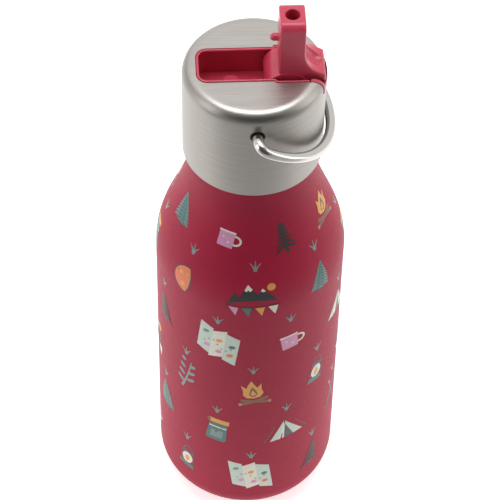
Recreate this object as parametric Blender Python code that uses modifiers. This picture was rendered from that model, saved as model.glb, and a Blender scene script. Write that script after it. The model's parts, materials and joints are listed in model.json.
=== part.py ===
"""Insulated drinking bottle: a double-wall steel bottle with a screw cap, a folding spout and a carry ring.

Metres, +Z up. The origin is the centre of the base's underside. +X is the side of the cap that the
spout's hinge is on, and every hinge on the cap turns about a line along Y.
"""

import math

import bmesh
import bpy
from mathutils import Vector

MM = 0.001
GAP = 0.3 * MM
ROUND = 36

# Bottle body
BODY_RADIUS = 32.5 * MM
BASE_ROUNDING = 12.0 * MM
BASE_RIM_RADIUS = 19.0 * MM
BASE_RECESS = 2.4 * MM
SEAM_Z = 14.0 * MM
WALL_TOP_Z = 122.2 * MM
COLLAR_RADIUS = 20.6 * MM
COLLAR_Z = 172.4 * MM
SHEET = 0.6 * MM
VACUUM = 2.6 * MM

# Neck and thread
NECK_RADIUS = 18.9 * MM
BORE_RADIUS = 17.5 * MM
MOUTH_Z = 189.0 * MM
THREAD_PITCH = 4.0 * MM
THREAD_TURNS = 1.5
THREAD_START_Z = 177.0 * MM
NECK_THREAD_HEIGHT = 0.95 * MM
LINER_BORE = 20.25 * MM
LINER_THREAD_HEIGHT = 0.9 * MM

# Cap
CAP_RADIUS = 23.0 * MM
CAP_BOTTOM_Z = 172.1 * MM
CAP_TOP_Z = 208.8 * MM
CAP_FILLET = 4.0 * MM
LINER_RADIUS = 22.0 * MM
CEILING_Z = 191.5 * MM
CEILING = 1.2 * MM

# Spout tray in the top of the cap
TRAY_LEFT_X = -18.5 * MM
TRAY_STEP_X = 6.0 * MM
TRAY_HALF_WIDTH = 7.3 * MM
TRAY_WIDE_HALF_WIDTH = 8.2 * MM
TRAY_WALL = 1.1 * MM
TRAY_CORNER = 3.6 * MM
TRAY_FLOOR_Z = CAP_TOP_Z - 9.2 * MM
TRAY_SHELF_Z = CAP_TOP_Z - 2.6 * MM
TRAY_SKIRT_Z = CAP_TOP_Z - 5.5 * MM
TRAY_PROUD = 0.25 * MM
FLOOR = 1.2 * MM

# Folding spout
PIVOT_X = 10.2 * MM
PIVOT_Z = CAP_TOP_Z - 5.4 * MM
DRUM_RADIUS = 6.8 * MM
DRUM_HALF_WIDTH = 5.8 * MM
SPOUT_LEFT_X = 7.4 * MM
SPOUT_RIGHT_X = 15.5 * MM
SPOUT_TOP_Z = CAP_TOP_Z + 21.7 * MM
SPOUT_HALF_WIDTH = 5.5 * MM
LUG_TIP_X = 22.2 * MM
DRINK_HOLE_RADIUS = 2.3 * MM
NUB_RADIUS = 1.3 * MM
NUB_LENGTH = 2.8 * MM
NUB_REACH = 17.6 * MM
PIN_RADIUS = 1.2 * MM

# Straw
STRAW_RADIUS = 3.3 * MM
STRAW_BORE = 2.5 * MM
STRAW_BOTTOM_Z = 14.0 * MM

# Carry ring
RING_RADIUS = 30.5 * MM
RING_HALF_SPAN = 28.3 * MM
RING_WIRE = 1.75 * MM
RING_PIVOT_Z = 200.15 * MM
RING_DROOP = math.radians(34.5)
RING_HOLE = 2.45 * MM

CRIMSON = (0.36, 0.012, 0.045, 1)
ROSE = (0.50, 0.02, 0.07, 1)
STEEL = (0.62, 0.60, 0.57, 1)
CLEAR = (0.85, 0.87, 0.88, 1)
MILKY = (0.80, 0.80, 0.78, 1)


def clear_scene():
    for obj in list(bpy.data.objects):
        bpy.data.objects.remove(obj)


def new_collection(name):
    collection = bpy.data.collections.new(name)
    bpy.context.scene.collection.children.link(collection)
    return collection


def material(name, colour, roughness, metallic):
    found = bpy.data.materials.new(name)
    found.use_nodes = True
    shader = found.node_tree.nodes["Principled BSDF"]
    shader.inputs["Base Color"].default_value = colour
    shader.inputs["Roughness"].default_value = roughness
    shader.inputs["Metallic"].default_value = metallic
    return found


def add_object(name, mesh, collection, finish=None):
    obj = bpy.data.objects.new(name, mesh)
    collection.objects.link(obj)
    if finish:
        mesh.materials.append(finish)
        mesh.shade_smooth()
        mesh.set_sharp_from_angle(angle=math.radians(35))
    else:
        obj.hide_render = True
        obj.display_type = "WIRE"
    return obj


def turned(name, profile, collection, finish=None, steps=ROUND, place=(0, 0, 0), closed=True):
    """A profile of (radius, height) points, down its outer side, turned about the object's own Z axis."""
    mesh = bpy.data.meshes.new(name)
    points = [(radius, 0, height) for radius, height in profile]
    edges = [(i, i + 1) for i in range(len(points) - 1)]
    if closed:
        edges.append((len(points) - 1, 0))
    mesh.from_pydata(points, edges, [])
    obj = add_object(name, mesh, collection, finish)
    screw = obj.modifiers.new("Turn", "SCREW")
    screw.steps = steps
    screw.render_steps = steps
    screw.use_merge_vertices = True
    screw.merge_threshold = 0.00001
    screw.use_smooth_shade = finish is not None
    obj.location = place
    return obj


def extruded(name, outline, depth, collection, finish=None):
    """A closed outline of (x, y) points in the XY plane, extruded by depth about that plane."""
    work = bmesh.new()
    bottom = [work.verts.new((x, y, -depth / 2)) for x, y in outline]
    face = work.faces.new(bottom)
    lifted = bmesh.ops.extrude_face_region(work, geom=[face])
    top = [part for part in lifted["geom"] if isinstance(part, bmesh.types.BMVert)]
    bmesh.ops.translate(work, verts=top, vec=(0, 0, depth))
    bmesh.ops.recalc_face_normals(work, faces=work.faces)
    mesh = bpy.data.meshes.new(name)
    work.to_mesh(mesh)
    work.free()
    return add_object(name, mesh, collection, finish)


def boolean(obj, tool, operation="DIFFERENCE"):
    modifier = obj.modifiers.new(f"{operation.title()} {tool.name}", "BOOLEAN")
    modifier.operation = operation
    modifier.object = tool
    modifier.solver = "EXACT"


def arc(centre, radius, start, end, count):
    """Points on an arc from the start angle to the end angle, in degrees."""
    points = []
    for i in range(count + 1):
        angle = math.radians(start + (end - start) * i / count)
        points.append((centre[0] + radius * math.cos(angle), centre[1] + radius * math.sin(angle)))
    return points


def bezier(p0, p1, p2, p3, count):
    points = []
    for i in range(count + 1):
        t = i / count
        s = 1 - t
        weights = (s**3, 3 * s * s * t, 3 * s * t * t, t**3)
        points.append(tuple(sum(w * p[k] for w, p in zip(weights, (p0, p1, p2, p3))) for k in (0, 1)))
    return points


def shoulder(inset, count=9):
    """The S-curve from the collar down to the straight wall, moved inwards by inset."""
    top = (COLLAR_RADIUS - inset, COLLAR_Z)
    wall = (BODY_RADIUS - inset, WALL_TOP_Z - inset * 0.3)
    upper_handle = (top[0] + 1.2 * MM, COLLAR_Z - 25 * MM)
    lower_handle = (wall[0], WALL_TOP_Z + 19.6 * MM)
    return bezier(top, upper_handle, lower_handle, wall, count)


def base_rounding(inset, count=6):
    """The quarter round from the straight wall to the base, moved inwards by inset."""
    centre = (BODY_RADIUS - BASE_ROUNDING, BASE_ROUNDING)
    return arc(centre, BASE_ROUNDING - inset, 0, -90, count)


def thread_ridge(name, root, crest, collection, lift=0.0):
    """A trapezoid ridge along a right-hand helix, which fades into its root at both ends."""
    steps = int(THREAD_TURNS * ROUND)
    fade = ROUND // 8
    foot_half, top_half = 1.0 * MM, 0.5 * MM
    sunk = root - 0.3 * MM if crest > root else root + 0.3 * MM
    work = bmesh.new()
    sections = []
    for i in range(steps + 1):
        angle = 2 * math.pi * (i + 0.5) / ROUND
        strength = min(1.0, 0.12 + i / fade, 0.12 + (steps - i) / fade)
        reach = root + (crest - root) * strength
        middle = THREAD_START_Z + lift + THREAD_PITCH * i / ROUND
        corners = ((sunk, -foot_half), (reach, -top_half), (reach, top_half), (sunk, foot_half))
        sections.append([work.verts.new((radius * math.cos(angle), radius * math.sin(angle), middle + height))
                         for radius, height in corners])
    count = len(sections[0])
    for near, far in zip(sections, sections[1:]):
        for k in range(count):
            work.faces.new((near[k], near[(k + 1) % count], far[(k + 1) % count], far[k]))
    work.faces.new(sections[0])
    work.faces.new(sections[-1])
    bmesh.ops.recalc_face_normals(work, faces=work.faces)
    mesh = bpy.data.meshes.new(name)
    work.to_mesh(mesh)
    work.free()
    return add_object(name, mesh, collection)


def y_cylinder(name, radius, half_width, x, z, collection, finish=None, steps=32):
    """A cylinder whose axis is the line along Y through (x, z)."""
    profile = [(0, half_width), (radius, half_width), (radius, -half_width), (0, -half_width)]
    obj = turned(name, profile, collection, finish, steps, (x, 0, z), closed=False)
    obj.rotation_euler = (math.pi / 2, 0, 0)
    return obj


def z_cylinder(name, radius, low, high, x, collection, steps=24):
    profile = [(0, high), (radius, high), (radius, low), (0, low)]
    return turned(name, profile, collection, None, steps, (x, 0, 0), closed=False)


def make_outer_shell(parts, tools, paint):
    """The painted outer wall with its shoulder and threaded neck, open at the mouth and at the base seam."""
    lip = MOUTH_Z - SHEET - GAP
    outside = [(NECK_RADIUS, lip), (NECK_RADIUS, COLLAR_Z + 1.6 * MM), (NECK_RADIUS + 0.5 * MM, COLLAR_Z + 1.1 * MM),
               (COLLAR_RADIUS - 0.5 * MM, COLLAR_Z + 1.0 * MM)]
    outside += shoulder(0)
    outside.append((BODY_RADIUS, SEAM_Z))
    inside = [(BODY_RADIUS - SHEET, SEAM_Z)] + shoulder(SHEET)[::-1]
    inside[-1] = (NECK_RADIUS - SHEET, COLLAR_Z)
    inside.append((NECK_RADIUS - SHEET, lip))
    shell = turned("outer_shell", outside + inside, parts, paint)
    ridge = thread_ridge("neck_thread", NECK_RADIUS, NECK_RADIUS + NECK_THREAD_HEIGHT, tools)
    boolean(shell, ridge, "UNION")


def make_inner_vessel(parts, steel):
    """The steel inner bottle, which hangs from its rolled lip over the outer neck."""
    inset = SHEET + VACUUM
    neck_out = BORE_RADIUS + 0.5 * MM
    thickness = 0.5 * MM
    floor_z = 7.5 * MM
    corner = 8.0 * MM
    radius = BODY_RADIUS - inset
    outside = [(NECK_RADIUS, MOUTH_Z - 0.3 * MM), (NECK_RADIUS, MOUTH_Z - SHEET), (neck_out, MOUTH_Z - SHEET),
               (neck_out, COLLAR_Z - 2 * MM)]
    outside += shoulder(inset)[1:]
    outside += arc((radius - corner, floor_z + corner), corner, 0, -90, 6)
    outside.append((0, floor_z))
    inside = [(0, floor_z + thickness)]
    inside += arc((radius - corner, floor_z + corner), corner - thickness, -90, 0, 6)
    inside += shoulder(inset + thickness)[:0:-1]
    inside += [(BORE_RADIUS, COLLAR_Z - 2 * MM), (BORE_RADIUS, MOUTH_Z - 0.4 * MM), (BORE_RADIUS + 0.4 * MM, MOUTH_Z),
               (NECK_RADIUS - 0.3 * MM, MOUTH_Z)]
    turned("inner_vessel", inside + outside, parts, steel, closed=False)


def make_base(parts, paint, steel):
    """The painted base cup, its cover disc, the seal of its evacuation hole and the getter above it."""
    centre_z = BASE_RECESS
    outside = [(BODY_RADIUS, SEAM_Z - GAP)] + base_rounding(0)
    outside += [(BASE_RIM_RADIUS, 0), (BASE_RIM_RADIUS - 1.6 * MM, centre_z), (1.5 * MM, centre_z)]
    top = centre_z + SHEET
    inside = [(1.5 * MM, top), (BASE_RIM_RADIUS - 1.2 * MM, top), (BASE_RIM_RADIUS, SHEET)]
    inside += base_rounding(SHEET)[::-1]
    inside.append((BODY_RADIUS - SHEET, SEAM_Z - GAP))
    turned("outer_base", outside + inside, parts, paint)
    disc_radius = BASE_RIM_RADIUS - 2.2 * MM
    disc_top = centre_z - GAP
    disc = [(0, disc_top), (disc_radius - 0.4 * MM, disc_top), (disc_radius, disc_top - 0.3 * MM),
            (disc_radius, disc_top - 0.8 * MM), (disc_radius - 0.3 * MM, disc_top - 1.1 * MM), (0, disc_top - 1.1 * MM)]
    turned("base_cover_disc", disc, parts, paint, closed=False)
    plug = [(0, top + 0.8 * MM), (1.2 * MM, top + 0.5 * MM), (1.2 * MM, centre_z + 0.05 * MM),
            (0, centre_z + 0.05 * MM)]
    turned("vacuum_seal_plug", plug, parts, steel, 20, closed=False)
    getter = [(0, 6.4 * MM), (3.2 * MM, 6.4 * MM), (3.4 * MM, 6.2 * MM), (3.4 * MM, 4.6 * MM), (3.2 * MM, 4.4 * MM),
              (0, 4.4 * MM)]
    turned("getter", getter, parts, steel, 24, (9 * MM, 0, 0), closed=False)


def slot_outline(grow):
    """The outline of the spout tray as seen from above, grown by grow, open past the cap's edge at +X."""
    left = TRAY_LEFT_X - grow
    narrow = TRAY_HALF_WIDTH + grow
    wide = TRAY_WIDE_HALF_WIDTH + grow
    corner = TRAY_CORNER + grow
    step = TRAY_STEP_X - grow
    end = 30 * MM
    outline = arc((left + corner, -narrow + corner), corner, 180, 270, 5)
    outline += [(step, -narrow), (step + 0.6 * MM, -wide), (end, -wide), (end, wide), (step + 0.6 * MM, wide),
                (step, narrow)]
    outline += arc((left + corner, narrow - corner), corner, 90, 180, 5)
    return outline


def make_cap_shell(parts, tools, steel):
    """The steel cap cup with the tray's slot in its top and a hole for each end of the carry ring."""
    inner = CAP_RADIUS - SHEET
    centre = (CAP_RADIUS - CAP_FILLET, CAP_TOP_Z - CAP_FILLET)
    outside = [(0, CAP_TOP_Z)] + arc(centre, CAP_FILLET, 90, 0, 6)
    outside += [(CAP_RADIUS, CAP_BOTTOM_Z + 0.2 * MM), (CAP_RADIUS - 0.2 * MM, CAP_BOTTOM_Z)]
    inside = [(inner, CAP_BOTTOM_Z)] + arc(centre, CAP_FILLET - SHEET, 0, 90, 6) + [(0, CAP_TOP_Z - SHEET)]
    shell = turned("cap_shell", outside + inside, parts, steel, 48, closed=False)
    depth = 12 * MM
    slot = extruded("slot_cutter", slot_outline(GAP), depth, tools)
    slot.location.z = TRAY_SKIRT_Z - GAP + depth / 2
    boolean(shell, slot)
    holes = y_cylinder("ring_hole_cutter", RING_HOLE + GAP, 30 * MM, 0, RING_PIVOT_Z, tools)
    boolean(shell, holes)


def make_cap_tray(parts, tools, plastic):
    """The plastic tray that the spout folds into, with a round well under the spout's drum."""
    low = TRAY_FLOOR_Z - FLOOR
    depth = CAP_TOP_Z + TRAY_PROUD - low
    tray = extruded("cap_tray", slot_outline(0), depth, parts, plastic)
    tray.location.z = low + depth / 2
    well_radius = DRUM_RADIUS + 0.35 * MM
    well_body = y_cylinder("well_body", well_radius + FLOOR, DRUM_HALF_WIDTH + 1.5 * MM, PIVOT_X, PIVOT_Z, tools,
                           steps=40)
    below = z_cylinder("below_shelf", 40 * MM, low - 20 * MM, TRAY_SHELF_Z - 1 * MM, 0, tools, 32)
    boolean(well_body, below, "INTERSECT")
    boolean(tray, well_body, "UNION")
    grow = TRAY_PROUD
    centre = (CAP_RADIUS - CAP_FILLET, CAP_TOP_Z - CAP_FILLET)
    envelope = [(0, CAP_TOP_Z + grow)] + arc(centre, CAP_FILLET + grow, 90, 0, 8)
    envelope += [(CAP_RADIUS + grow, TRAY_SKIRT_Z), (CAP_RADIUS - SHEET - GAP, TRAY_SKIRT_Z),
                 (CAP_RADIUS - SHEET - GAP, low - 20 * MM), (0, low - 20 * MM)]
    hull = turned("cap_envelope", envelope, tools, None, 48, closed=False)
    boolean(tray, hull, "INTERSECT")
    reach = 40 * MM
    inner_left = TRAY_LEFT_X + TRAY_WALL
    half = TRAY_HALF_WIDTH - TRAY_WALL
    corner = TRAY_CORNER - TRAY_WALL
    outline = arc((inner_left + corner, -half + corner), corner, 180, 270, 4)
    outline += [(TRAY_STEP_X + 4 * MM, -half), (TRAY_STEP_X + 4 * MM, half)]
    outline += arc((inner_left + corner, half - corner), corner, 90, 180, 4)
    channel = extruded("channel_cutter", outline, reach, tools)
    channel.location.z = TRAY_FLOOR_Z + reach / 2
    boolean(tray, channel)
    wide = TRAY_WIDE_HALF_WIDTH - TRAY_WALL
    step = TRAY_STEP_X + TRAY_WALL * 0.4
    block = [(step, -wide), (30 * MM, -wide), (30 * MM, wide), (step, wide)]
    shelf = extruded("shelf_cutter", block, reach, tools)
    shelf.location.z = TRAY_SHELF_Z + reach / 2
    boolean(tray, shelf)
    well = y_cylinder("well_cutter", well_radius, DRUM_HALF_WIDTH + GAP, PIVOT_X, PIVOT_Z, tools, steps=40)
    boolean(tray, well)
    seal_hole = z_cylinder("seal_hole_cutter", 3.6 * MM, CEILING_Z - 1 * MM, PIVOT_Z - 3 * MM, PIVOT_X, tools)
    boolean(tray, seal_hole)
    vent_x = PIVOT_X - NUB_REACH
    vent_hole = z_cylinder("vent_hole_cutter", 2.6 * MM, low - 2 * MM, TRAY_FLOOR_Z + 2 * MM, vent_x, tools)
    boolean(tray, vent_hole)
    pin_hole = y_cylinder("pin_hole_cutter", PIN_RADIUS + GAP, DRUM_HALF_WIDTH + 1.4 * MM, PIVOT_X, PIVOT_Z, tools,
                          steps=24)
    boolean(tray, pin_hole)


def make_threaded_liner(parts, tools, plastic):
    """The plastic inner cap: a threaded wall under a ceiling that the straw and the vent pass through."""
    bottom = CAP_BOTTOM_Z + 3.4 * MM
    top = CEILING_Z + CEILING
    profile = [(0, top), (LINER_RADIUS - 0.8 * MM, top), (LINER_RADIUS, top - 0.8 * MM), (LINER_RADIUS, bottom),
               (LINER_BORE, bottom), (LINER_BORE, CEILING_Z), (0, CEILING_Z)]
    liner = turned("threaded_liner", profile, parts, plastic, closed=False)
    half_turn = THREAD_PITCH / 2
    ridge = thread_ridge("liner_thread", LINER_BORE, LINER_BORE - LINER_THREAD_HEIGHT, tools, half_turn)
    boolean(liner, ridge, "UNION")
    straw_hole = z_cylinder("straw_hole_cutter", 3.6 * MM, CEILING_Z - 3 * MM, top + 3 * MM, PIVOT_X, tools)
    boolean(liner, straw_hole)
    vent = z_cylinder("liner_vent_cutter", 2.6 * MM, CEILING_Z - 3 * MM, top + 3 * MM, PIVOT_X - NUB_REACH, tools)
    boolean(liner, vent)


def make_seals(parts, tools, silicone):
    """The mouth gasket, the seal that presses on the drum, and the vent's grommet."""
    low, high = MOUTH_Z + GAP, CEILING_Z - GAP
    gasket = [(19.5 * MM, high), (19.5 * MM, low), (17.0 * MM, low), (17.0 * MM, high)]
    turned("cap_gasket", gasket, parts, silicone)
    seal_top = PIVOT_Z - 5.6 * MM
    seal_low = CEILING_Z + CEILING + GAP
    ring = [(3.3 * MM, seal_top), (3.3 * MM, seal_low), (1.8 * MM, seal_low), (1.8 * MM, seal_top)]
    seal = turned("spout_seal", ring, parts, silicone, 28, (PIVOT_X, 0, 0))
    clearance = y_cylinder("drum_clearance", DRUM_RADIUS + GAP, 8 * MM, PIVOT_X, PIVOT_Z, tools, steps=64)
    boolean(seal, clearance)
    low, high = CEILING_Z - 1.5 * MM, TRAY_FLOOR_Z - 0.1 * MM
    flange_z = CEILING_Z + CEILING + GAP
    grommet = [(2.3 * MM, high), (2.3 * MM, flange_z + 1.2 * MM), (3.6 * MM, flange_z + 1.2 * MM), (3.6 * MM, flange_z),
               (2.3 * MM, flange_z), (2.3 * MM, low), (1.0 * MM, low), (1.0 * MM, high - 3.4 * MM),
               (NUB_RADIUS + GAP, high - 3.0 * MM), (NUB_RADIUS + GAP, high)]
    turned("vent_grommet", grommet, parts, silicone, 28, (PIVOT_X - NUB_REACH, 0, 0))


def make_straw(parts, plastic, clear):
    """The straw and the socket that holds it under the liner's ceiling."""
    top = CEILING_Z + CEILING
    flange = CEILING_Z - GAP
    socket = [(3.3 * MM, top), (3.3 * MM, flange), (3.9 * MM, flange), (3.9 * MM, flange - 2 * MM),
              (2.2 * MM, flange - 2 * MM), (2.2 * MM, flange - 9 * MM), (1.5 * MM, flange - 9 * MM), (1.5 * MM, top)]
    turned("straw_socket", socket, parts, plastic, 28, (PIVOT_X, 0, 0))
    straw_top = flange - 2.3 * MM
    tube = [(STRAW_RADIUS, straw_top), (STRAW_RADIUS, STRAW_BOTTOM_Z), (STRAW_BORE, STRAW_BOTTOM_Z),
            (STRAW_BORE, straw_top)]
    turned("straw", tube, parts, clear, 24, (PIVOT_X, 0, 0))


def spout_outline():
    """The spout's side view in (x, z), relative to its pivot: column, thumb lug and drum."""
    left, right = SPOUT_LEFT_X - PIVOT_X, SPOUT_RIGHT_X - PIVOT_X
    top = SPOUT_TOP_Z - PIVOT_Z
    cap = CAP_TOP_Z - PIVOT_Z
    tip = LUG_TIP_X - PIVOT_X
    under = TRAY_SHELF_Z + GAP - PIVOT_Z
    outline = [(left, top), (right, top), (right, cap + 9 * MM)]
    outline += bezier((right, cap + 9 * MM), (right + 0.4 * MM, cap + 4.4 * MM), (tip - 4 * MM, cap + 2.2 * MM),
                      (tip - 0.8 * MM, cap + 0.9 * MM), 7)[1:]
    outline += [(tip, cap - 0.2 * MM), (tip, under + 0.5 * MM), (tip - 0.5 * MM, under)]
    start = math.degrees(math.asin(under / DRUM_RADIUS))
    end = math.degrees(math.acos(left / DRUM_RADIUS))
    outline += arc((0, 0), DRUM_RADIUS, start, end - 360, 26)
    return outline


def make_spout(parts, tools, plastic):
    """The folding spout: a drinking column on a drum, with a thumb lug and the vent's stopper."""
    pivot = (PIVOT_X, 0, PIVOT_Z)
    spout = extruded("drinking_spout", spout_outline(), 2 * DRUM_HALF_WIDTH, parts, plastic)
    taper = bmesh.new()
    taper.from_mesh(spout.data)
    for corner in taper.verts:
        height = max(0.0, corner.co.y - 8 * MM) / (SPOUT_TOP_Z - PIVOT_Z - 8 * MM)
        corner.co.z *= 1 - (1 - SPOUT_HALF_WIDTH / DRUM_HALF_WIDTH) * height
    top_edges = [edge for edge in taper.edges
                 if all(v.co.y > SPOUT_TOP_Z - PIVOT_Z - 0.1 * MM for v in edge.verts)
                 and abs(edge.verts[0].co.z - edge.verts[1].co.z) < 0.1 * MM]
    bmesh.ops.bevel(taper, geom=top_edges, offset=2.0 * MM, segments=4, affect="EDGES", profile=0.5)
    taper.to_mesh(spout.data)
    taper.free()
    spout.location = pivot
    spout.rotation_euler = (math.pi / 2, 0, 0)
    waterway_x = (SPOUT_LEFT_X + SPOUT_RIGHT_X) / 2 - PIVOT_X
    path = [Vector((waterway_x, SPOUT_TOP_Z - PIVOT_Z + 2 * MM)), Vector((waterway_x, 4 * MM)), Vector((0, -1 * MM)),
            Vector((0, -DRUM_RADIUS - 2 * MM))]
    for i, (start, end) in enumerate(zip(path, path[1:])):
        run = end - start
        length = run.length + (1.6 * MM if i == 1 else 0)
        profile = [(0, length / 2), (DRINK_HOLE_RADIUS, length / 2), (DRINK_HOLE_RADIUS, -length / 2), (0, -length / 2)]
        drill = turned(f"waterway_{i + 1}", profile, tools, None, 20, closed=False)
        middle = (start + end) / 2
        drill.location = (PIVOT_X + middle.x, 0, PIVOT_Z + middle.y)
        drill.rotation_euler = (0, math.atan2(run.x, run.y), 0)
        boolean(spout, drill)
    pin_hole = y_cylinder("spout_pin_hole_cutter", PIN_RADIUS + 0.1 * MM, 12 * MM, PIVOT_X, PIVOT_Z, tools, steps=24)
    boolean(spout, pin_hole)
    nub = turned("vent_nub", [(0, NUB_LENGTH), (0.8 * MM, NUB_LENGTH - 0.2 * MM), (NUB_RADIUS, NUB_LENGTH - 0.9 * MM),
                              (NUB_RADIUS, -1 * MM), (0, -1 * MM)], tools, None, 20, closed=False)
    nub.location = (SPOUT_LEFT_X, 0, PIVOT_Z + NUB_REACH)
    nub.rotation_euler = (0, -math.pi / 2, 0)
    boolean(spout, nub, "UNION")


def make_hinge_pin(parts, steel):
    half = DRUM_HALF_WIDTH + 1.1 * MM
    y_cylinder("hinge_pin", PIN_RADIUS, half, PIVOT_X, PIVOT_Z, parts, steel, 20)


def make_carry_ring(parts, steel):
    """A bow of round wire whose ends turn in towards the cap, hung from its pivot line along Y."""
    bend = 2.2 * MM
    reach = CAP_RADIUS - 3.2 * MM
    points = [Vector((0, reach, 0)), Vector((0, RING_HALF_SPAN - bend - 1.4 * MM, 0))]
    points += [Vector((bend - bend * math.cos(a), RING_HALF_SPAN - bend - 0.6 * MM + bend * math.sin(a), 0))
               for a in (math.radians(25), math.radians(55))]
    for i in range(31):
        angle = math.radians(84 - 168 * i / 30)
        points.append(Vector((RING_RADIUS * math.cos(angle), RING_HALF_SPAN * math.sin(angle), 0)))
    points += [Vector((p.x, -p.y, 0)) for p in points[3::-1]]
    curve = bpy.data.curves.new("carry_ring_path", "CURVE")
    curve.dimensions = "3D"
    curve.bevel_depth = RING_WIRE
    curve.bevel_resolution = 2
    curve.use_fill_caps = True
    spline = curve.splines.new("POLY")
    spline.points.add(len(points) - 1)
    for target, point in zip(spline.points, points):
        target.co = (*point, 1)
    ring = bpy.data.objects.new("carry_ring", curve)
    parts.objects.link(ring)
    curve.materials.append(steel)
    ring.location = (0, 0, RING_PIVOT_Z)
    ring.rotation_euler = (0, RING_DROOP, 0)


def make_bushings(parts, plastic):
    """The plastic bushing that lines each of the cap's ring holes."""
    bore = RING_WIRE + 0.35 * MM
    flange, flange_depth, length = 3.8 * MM, 1.2 * MM, 2.3 * MM
    profile = [(RING_HOLE, length), (RING_HOLE, flange_depth), (flange, flange_depth), (flange, 0), (bore, 0),
               (bore, length)]
    for side, name in ((-1, "ring_bushing_front"), (1, "ring_bushing_back")):
        bushing = turned(name, profile, parts, plastic, 24)
        bushing.location = (0, side * (CAP_RADIUS - 2.4 * MM), RING_PIVOT_Z)
        bushing.rotation_euler = (-side * math.pi / 2, 0, 0)


def main():
    clear_scene()
    parts = new_collection("insulated_bottle")
    tools = new_collection("cutters")
    paint = material("powder_coat", CRIMSON, 0.55, 0.0)
    steel = material("brushed_steel", STEEL, 0.35, 1.0)
    polished = material("polished_steel", STEEL, 0.12, 1.0)
    plastic = material("spout_plastic", ROSE, 0.35, 0.0)
    liner = material("liner_plastic", MILKY, 0.45, 0.0)
    silicone = material("silicone", MILKY, 0.6, 0.0)
    clear = material("straw_plastic", CLEAR, 0.3, 0.0)
    make_outer_shell(parts, tools, paint)
    make_inner_vessel(parts, steel)
    make_base(parts, paint, steel)
    make_cap_shell(parts, tools, steel)
    make_cap_tray(parts, tools, plastic)
    make_threaded_liner(parts, tools, liner)
    make_seals(parts, tools, silicone)
    make_straw(parts, liner, clear)
    make_spout(parts, tools, plastic)
    make_hinge_pin(parts, polished)
    make_carry_ring(parts, polished)
    make_bushings(parts, liner)


main()
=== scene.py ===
"""Insulated drinking bottle: the finished surfaces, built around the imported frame. Metres, +Z up."""

import json
import math

import bmesh
import bpy
from mathutils import Matrix, Vector


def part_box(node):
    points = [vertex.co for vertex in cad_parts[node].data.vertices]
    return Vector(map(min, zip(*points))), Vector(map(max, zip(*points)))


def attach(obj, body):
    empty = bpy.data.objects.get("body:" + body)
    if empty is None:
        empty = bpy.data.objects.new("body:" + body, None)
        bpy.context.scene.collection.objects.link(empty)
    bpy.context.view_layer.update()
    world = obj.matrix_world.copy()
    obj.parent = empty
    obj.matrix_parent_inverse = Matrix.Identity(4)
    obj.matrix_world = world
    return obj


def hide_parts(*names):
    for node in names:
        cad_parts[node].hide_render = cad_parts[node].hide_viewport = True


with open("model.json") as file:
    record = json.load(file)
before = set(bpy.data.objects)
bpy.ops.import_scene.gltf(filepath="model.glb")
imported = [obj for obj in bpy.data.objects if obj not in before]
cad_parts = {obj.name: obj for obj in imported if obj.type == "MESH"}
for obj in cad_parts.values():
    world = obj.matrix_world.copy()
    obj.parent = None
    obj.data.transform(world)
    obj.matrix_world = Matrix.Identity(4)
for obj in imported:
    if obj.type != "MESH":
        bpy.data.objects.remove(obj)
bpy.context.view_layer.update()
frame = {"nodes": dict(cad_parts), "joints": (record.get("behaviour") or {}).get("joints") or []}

MM = 0.001
LATHE_STEPS = 160

# Places that the frame gives
_, shell_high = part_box("outer_shell")
_, base_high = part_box("outer_base")
cap_low, cap_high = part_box("cap_shell")
disc_low, disc_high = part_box("base_cover_disc")
_, spout_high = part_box("drinking_spout")
tray_low, tray_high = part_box("cap_tray")
JOINTS = {joint["name"]: joint for joint in frame["joints"]}

# Body, as in the frame
COAT_SINK = 0.14 * MM
BODY_RADIUS = base_high[0] - COAT_SINK
BASE_ROUNDING = 12.0 * MM
BASE_RIM_RADIUS = 19.0 * MM
BASE_RECESS = 2.4 * MM
WALL_TOP_Z = 122.2 * MM
COLLAR_RADIUS = 20.6 * MM
COLLAR_Z = 172.4 * MM
NECK_RADIUS = 18.9 * MM
SHEET = 0.6 * MM

# Cap, as in the frame
CAP_RADIUS = cap_high[0]
CAP_BOTTOM_Z = cap_low[2]
CAP_TOP_Z = cap_high[2]
CAP_FILLET = 4.0 * MM
TRAY_LEFT_X = tray_low[0]
TRAY_STEP_X = 6.0 * MM
TRAY_HALF_WIDTH = 7.3 * MM
TRAY_WIDE_HALF_WIDTH = tray_high[1]
TRAY_WALL = 1.1 * MM
TRAY_CORNER = 3.6 * MM
TRAY_FLOOR_Z = CAP_TOP_Z - 9.2 * MM
TRAY_SHELF_Z = CAP_TOP_Z - 2.6 * MM
TRAY_SKIRT_Z = CAP_TOP_Z - 5.5 * MM
TRAY_PROUD = 0.25 * MM

# Spout, as in the frame
PIVOT_X, _, PIVOT_Z = JOINTS["spout_flip"]["pos_m"]
DRUM_RADIUS = 6.8 * MM
DRUM_HALF_WIDTH = spout_high[1]
SPOUT_LEFT_X = 7.4 * MM
SPOUT_RIGHT_X = 15.5 * MM
SPOUT_TOP_Z = spout_high[2]
SPOUT_HALF_WIDTH = 5.8 * MM
LUG_TIP_X = spout_high[0]
DRINK_HOLE_RADIUS = 2.3 * MM
NUB_RADIUS = 1.3 * MM
NUB_LENGTH = 2.8 * MM
NUB_REACH = 17.6 * MM

# Carry ring, as in the frame
RING_PIVOT_Z = JOINTS["ring_swing"]["pos_m"][2]
RING_RADIUS = 30.5 * MM
RING_HALF_SPAN = 28.3 * MM
RING_WIRE = 1.75 * MM
RING_DROOP = math.radians(34.5)
RING_HOLE = 2.45 * MM


# ---------------------------------------------------------------- mesh tools


def link(name, mesh):
    obj = bpy.data.objects.new(name, mesh)
    bpy.context.scene.collection.objects.link(obj)
    return obj


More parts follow.
